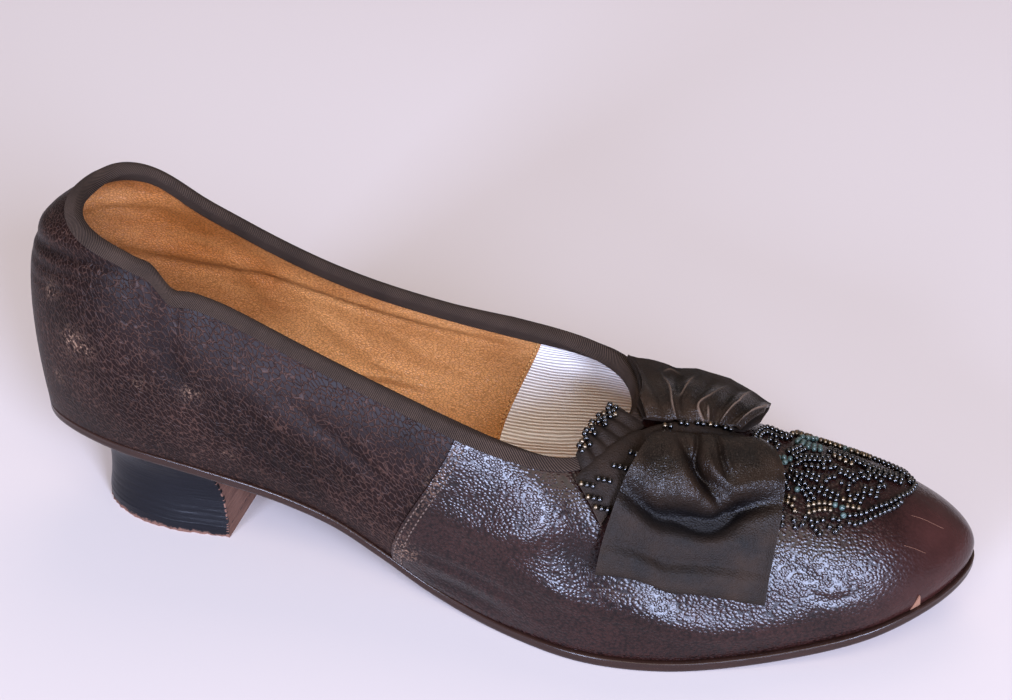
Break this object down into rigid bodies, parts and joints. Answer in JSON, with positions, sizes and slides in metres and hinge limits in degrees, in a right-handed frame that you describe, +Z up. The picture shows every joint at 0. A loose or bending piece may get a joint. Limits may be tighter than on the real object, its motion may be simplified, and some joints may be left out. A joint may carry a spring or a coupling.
{
  "type": "louis heel shoe",
  "caption": "Worn brown kid slipper with a low black louis heel, tape-bound topline, leather bow and beaded vamp.",
  "frame": {"origin": "centre of the shoe's box in plan, on the floor", "axes": "+X from heel to toe, +Y to the wearer's left, +Z up from the floor"},
  "size_m": [0.2373, 0.0776, 0.0897],
  "materials": {
    "kid_leather": "pebbled, worn, half gloss",
    "twill_tape": "matt twill",
    "sole_leather": "burnished edge",
    "heel_leather": "black paint, half gloss",
    "lining_leather": "smooth, creased",
    "bow_leather": "soft sheen, worn edges",
    "jet_beads": "gloss black",
    "lining_cotton": "fine rib, stained",
    "brass_beads": "dull gloss"
  },
  "bodies": {
    "root": {"upper": "kid_leather", "topline_binding": "twill_tape", "outsole": "sole_leather", "insole": "lining_leather", "heel": "heel_leather", "heel_top_piece": "sole_leather", "bow_loop_near": "bow_leather", "bow_loop_far": "bow_leather", "bow_knot": "bow_leather", "bow_tail": "bow_leather", "throat_petals": "jet_beads", "vamp_beadwork": "jet_beads"}
  },
  "joints": []
}
